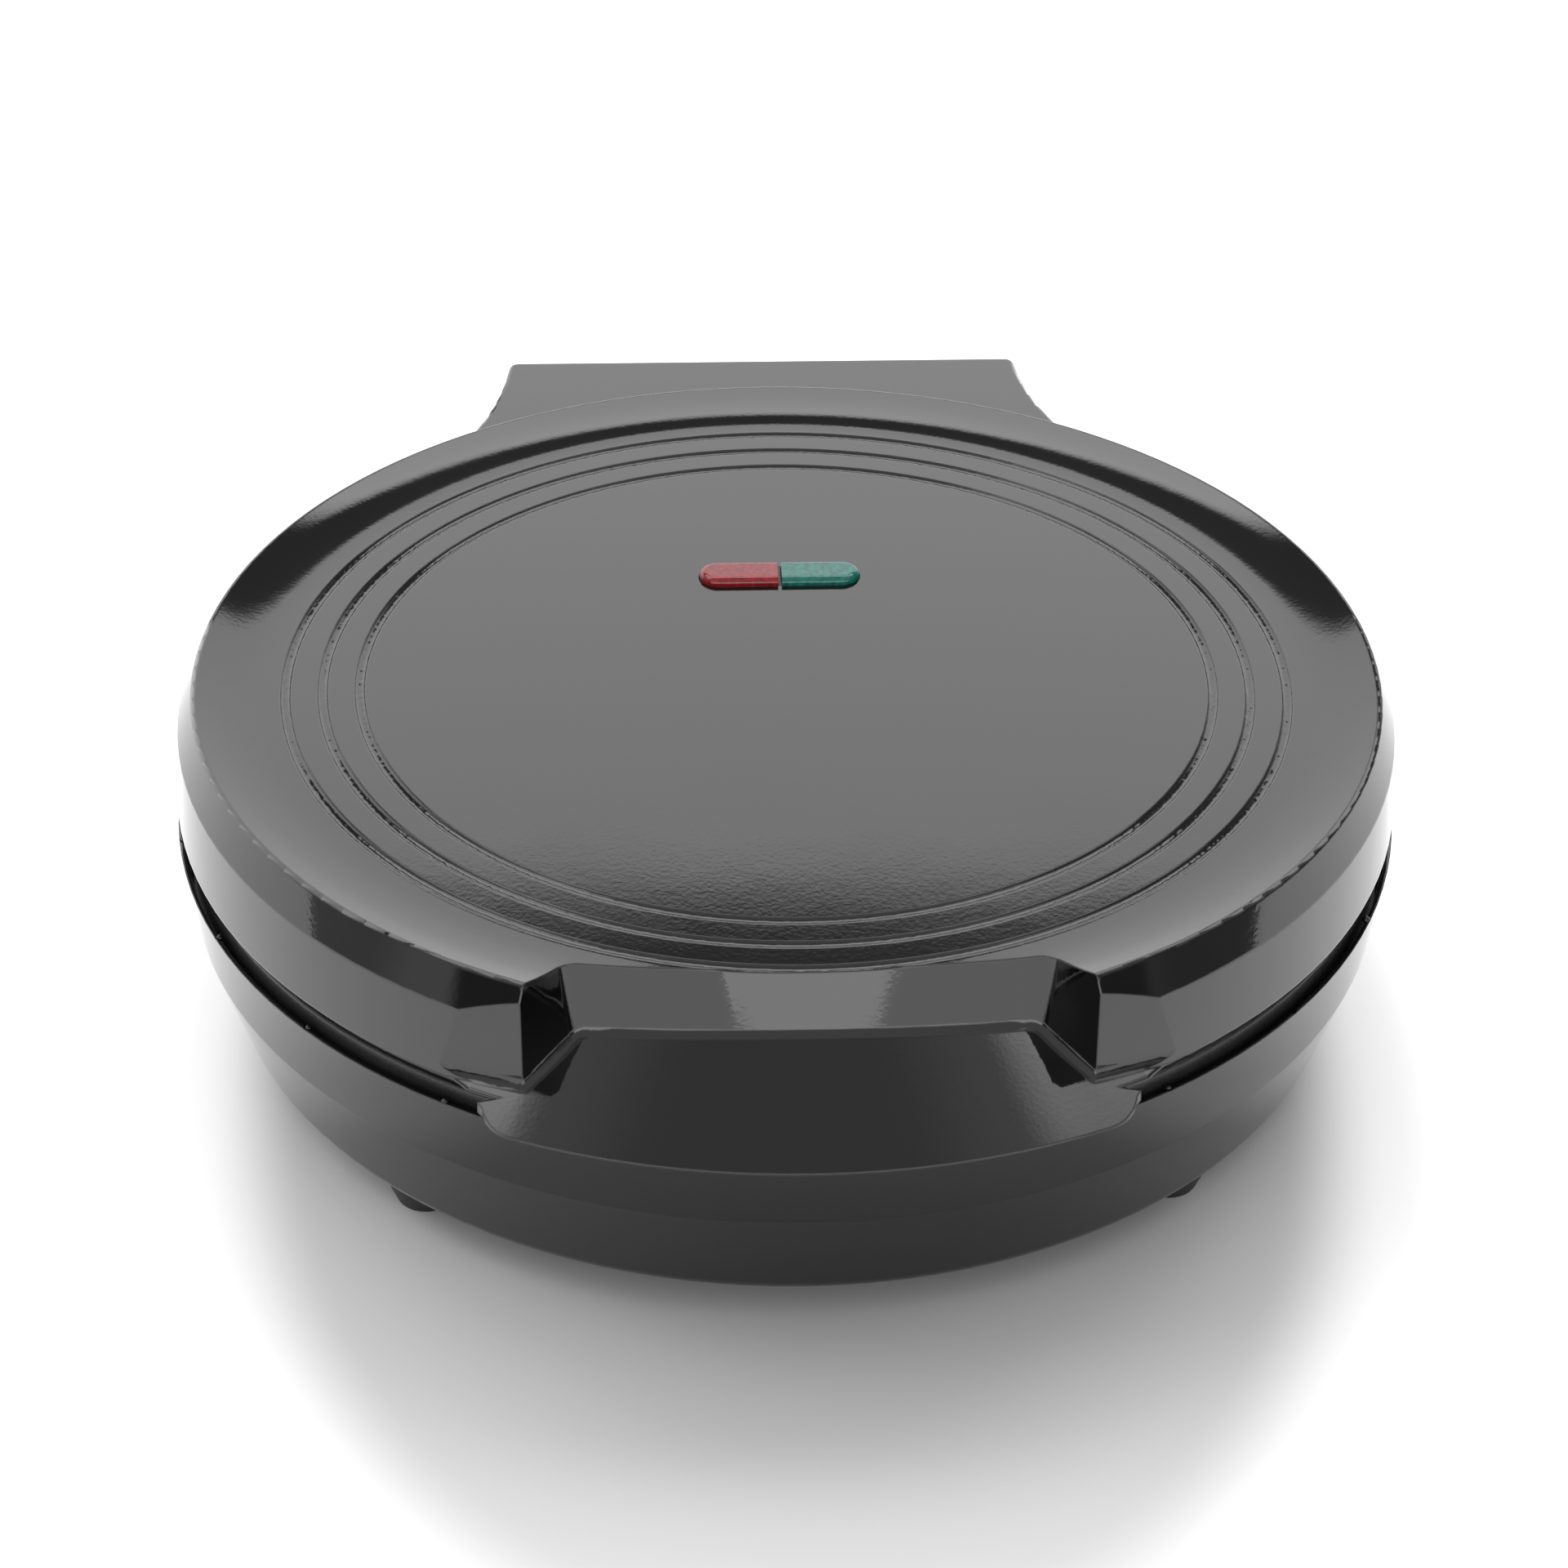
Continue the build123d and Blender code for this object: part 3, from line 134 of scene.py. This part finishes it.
def bumps(tree, shader, layers, edge=0.0):
    """Stacks bump layers, each a height socket and its depth in metres, over edges softened by a radius."""
    normal = None
    if edge:
        normal = node(tree, "ShaderNodeBevel", {"Radius": edge}, samples=edge_samples).outputs["Normal"]
    for height, depth in layers:
        inputs = {"Height": height, "Distance": depth, "Strength": 1.0}
        if normal is not None:
            inputs["Normal"] = normal
        normal = node(tree, "ShaderNodeBump", inputs).outputs["Normal"]
    tree.links.new(normal, shader.inputs["Normal"])


def casing_plastic():
    """Glossy black moulded plastic with a faint orange-peel surface."""
    material, tree, shader, where = new_material("casing_plastic", casing_ior)
    shader.inputs["Base Color"].default_value = casing_colour
    vary(tree, noise(tree, where, 22.0, 3.0), shader.inputs["Roughness"], 0.03, 0.06)
    peel = noise(tree, where, 800.0, 1.0)
    wave = noise(tree, where, 60.0, 1.0)
    bumps(tree, shader, [(wave, wave_depth), (peel, peel_depth)], edge=casing_edge)
    return material


def satin_plastic(name, colour, roughness):
    material, tree, shader, where = new_material(name, plastic_ior)
    grain = noise(tree, where, 900.0, 2.0)
    tone = noise(tree, where, 40.0, 3.0)
    vary(tree, tone, shader.inputs["Base Color"], dimmed(colour, 0.8), colour)
    vary(tree, grain, shader.inputs["Roughness"], roughness - 0.06, roughness + 0.06)
    bumps(tree, shader, [(grain, 2e-5)])
    return material


def coated_metal():
    """Cast aluminium under a dark satin non-stick coat."""
    material, tree, shader, where = new_material("non_stick_coat", coat_ior)
    grain = noise(tree, where, 1400.0, 2.0)
    tone = noise(tree, where, 30.0, 4.0)
    vary(tree, tone, shader.inputs["Base Color"], 0.014, 0.022)
    vary(tree, grain, shader.inputs["Roughness"], 0.26, 0.38)
    bumps(tree, shader, [(grain, 1.2e-5)])
    return material


def metal(name, colour, roughness, grain_scale):
    material, tree, shader, where = new_material(name)
    shader.inputs["Metallic"].default_value = 1.0
    grain = noise(tree, where, grain_scale, 3.0)
    vary(tree, grain, shader.inputs["Base Color"], dimmed(colour, 0.8), colour)
    vary(tree, grain, shader.inputs["Roughness"], roughness - 0.07, roughness + 0.07)
    bumps(tree, shader, [(grain, 1e-5)])
    return material


def lens_plastic(name, colour):
    """Tinted clear plastic with a fine stipple."""
    material, tree, shader, where = new_material(name, plastic_ior)
    shader.inputs["Transmission Weight"].default_value = 0.35
    shader.inputs["Roughness"].default_value = 0.05
    vary(tree, noise(tree, where, 700.0, 2.0), shader.inputs["Base Color"], dimmed(colour, 0.5), colour, 0.15)
    return material


def lamp_glass():
    material, tree, shader, where = new_material("lamp_glass", plastic_ior)
    shader.inputs["Transmission Weight"].default_value = 0.9
    shader.inputs["Roughness"].default_value = 0.04
    vary(tree, noise(tree, where, 300.0), shader.inputs["Base Color"], (0.8, 0.74, 0.68), (0.9, 0.85, 0.8))
    return material


def rubber():
    material, tree, shader, where = new_material("foot_rubber", plastic_ior)
    grain = noise(tree, where, 1200.0, 3.0)
    vary(tree, grain, shader.inputs["Base Color"], 0.008, 0.014)
    vary(tree, grain, shader.inputs["Roughness"], 0.4, 0.52)
    bumps(tree, shader, [(grain, 2e-5)])
    return material


finishes = {
    "casing": casing_plastic(),
    "inner_cover": satin_plastic("inner_cover", (0.016, 0.016, 0.017), 0.35),
    "terminal_plastic": satin_plastic("terminal_plastic", (0.72, 0.71, 0.66), 0.4),
    "coated_plate": coated_metal(),
    "heater_sheath": metal("heater_sheath", (0.3, 0.29, 0.28), 0.45, 500.0),
    "reflector": metal("reflector", (0.78, 0.79, 0.8), 0.28, 250.0),
    "steel": metal("zinc_steel", (0.6, 0.6, 0.61), 0.3, 600.0),
    "brass": metal("brass", (0.78, 0.57, 0.27), 0.3, 600.0),
    "red_lens": lens_plastic("red_lens", (0.42, 0.008, 0.016)),
    "green_lens": lens_plastic("green_lens", (0.008, 0.26, 0.21)),
    "lamp_glass": lamp_glass(),
    "foot_rubber": rubber(),
}
for row in frame["record"]["subparts"]:
    for place in nodes[row["node"]].material_slots:
        place.material = finishes[row["material_slot"]]


def make_floor():
    """Pale floor that keeps the object's shadow and turns white away from it."""
    bpy.ops.mesh.primitive_plane_add(size=floor_size, location=(0, 0, 0))
    floor = bpy.context.object
    floor.name = "floor"
    material = bpy.data.materials.new("floor")
    material.use_nodes = True
    tree = material.node_tree
    tree.nodes.clear()
    path = node(tree, "ShaderNodeLightPath").outputs
    seen = math_node(tree, "MAXIMUM", path["Is Camera Ray"], path["Is Glossy Ray"])
    seen = math_node(tree, "MAXIMUM", seen, path["Is Transmission Ray"])
    where = node(tree, "ShaderNodeTexCoord").outputs["Object"]
    where = vector_node(tree, "SUBTRACT", where, shade_centre)[0]
    where = vector_node(tree, "MULTIPLY", where, shade_scale)[0]
    away = vector_node(tree, "LENGTH", where)["Value"]
    glow = math_node(tree, "MULTIPLY", seen, ramp(tree, away, glow_stops, "EASE"))
    diffuse = node(tree, "ShaderNodeBsdfDiffuse", {"Color": (floor_grey, floor_grey, floor_grey, 1)})
    light = node(tree, "ShaderNodeEmission", {"Color": (1, 1, 1, 1), "Strength": glow})
    both = node(tree, "ShaderNodeAddShader", {0: diffuse.outputs[0], 1: light.outputs[0]})
    node(tree, "ShaderNodeOutputMaterial", {"Surface": both.outputs[0]})
    floor.data.materials.append(material)


def window(tree, value, low, high, blur):
    """1 between low and high, fading to 0 over the blur on each side."""
    rise = {"Value": value, "From Min": low - blur, "From Max": low + blur}
    fall = {"Value": value, "From Min": high - blur, "From Max": high + blur, "To Min": 1.0, "To Max": 0.0}
    kind = "ShaderNodeMapRange"
    sides = [node(tree, kind, ends, interpolation_type="SMOOTHSTEP").outputs[0] for ends in (rise, fall)]
    return math_node(tree, "MULTIPLY", *sides)


def make_world():
    """Soft studio surroundings: plain light with panels and dark gaps between them."""
    world = bpy.data.worlds.new("studio")
    bpy.context.scene.world = world
    world.use_nodes = True
    tree = world.node_tree
    tree.nodes.clear()
    degrees = math.degrees(1)
    way = node(tree, "ShaderNodeTexCoord").outputs["Generated"]
    axes = node(tree, "ShaderNodeSeparateXYZ", {0: way}).outputs
    height = math_node(tree, "MULTIPLY", math_node(tree, "ARCSINE", axes["Z"]), degrees)
    level = node(tree, "ShaderNodeCombineXYZ", {"X": axes["X"], "Y": axes["Y"]}).outputs[0]
    level = vector_node(tree, "NORMALIZE", level)[0]
    brightness = plain
    for heading, half, blur, low, high, fade, value in panels:
        facing = math.radians(heading)
        facing = (math.sin(facing), -math.cos(facing), 0)
        turn = vector_node(tree, "DOT_PRODUCT", level, facing)["Value"]
        turn = math_node(tree, "ARCCOSINE", math_node(tree, "MULTIPLY", turn, inside_range))
        turn = math_node(tree, "MULTIPLY", turn, degrees)
        across = window(tree, turn, no_low_edge, half, blur)
        share = math_node(tree, "MULTIPLY", across, window(tree, height, low, high, fade))
        mixed = node(tree, "ShaderNodeMix", {"Factor": share, "A": brightness, "B": value}, data_type="FLOAT")
        brightness = mixed.outputs["Result"]
    light = node(tree, "ShaderNodeBackground", {"Color": (1, 1, 1, 1), "Strength": brightness})
    node(tree, "ShaderNodeOutputWorld", {"Surface": light.outputs[0]})


def make_camera():
    data = bpy.data.cameras.new("camera")
    data.lens = camera_lens
    data.sensor_width = camera_sensor
    data.clip_start = camera_near
    data.clip_end = camera_far
    camera = bpy.data.objects.new("camera", data)
    bpy.context.scene.collection.objects.link(camera)
    camera.location = camera_place
    turn = (camera_aim - camera_place).to_track_quat("-Z", "Y").to_matrix()
    right, up, _ = turn.col
    camera.rotation_mode = "QUATERNION"
    rolled = turn.copy()
    rolled.col[0] = right * math.cos(camera_roll) + up * math.sin(camera_roll)
    rolled.col[1] = up * math.cos(camera_roll) - right * math.sin(camera_roll)
    camera.rotation_quaternion = rolled.to_quaternion()
    bpy.context.scene.camera = camera


make_floor()
make_world()
make_camera()
bpy.context.scene.view_settings.view_transform = "Standard"
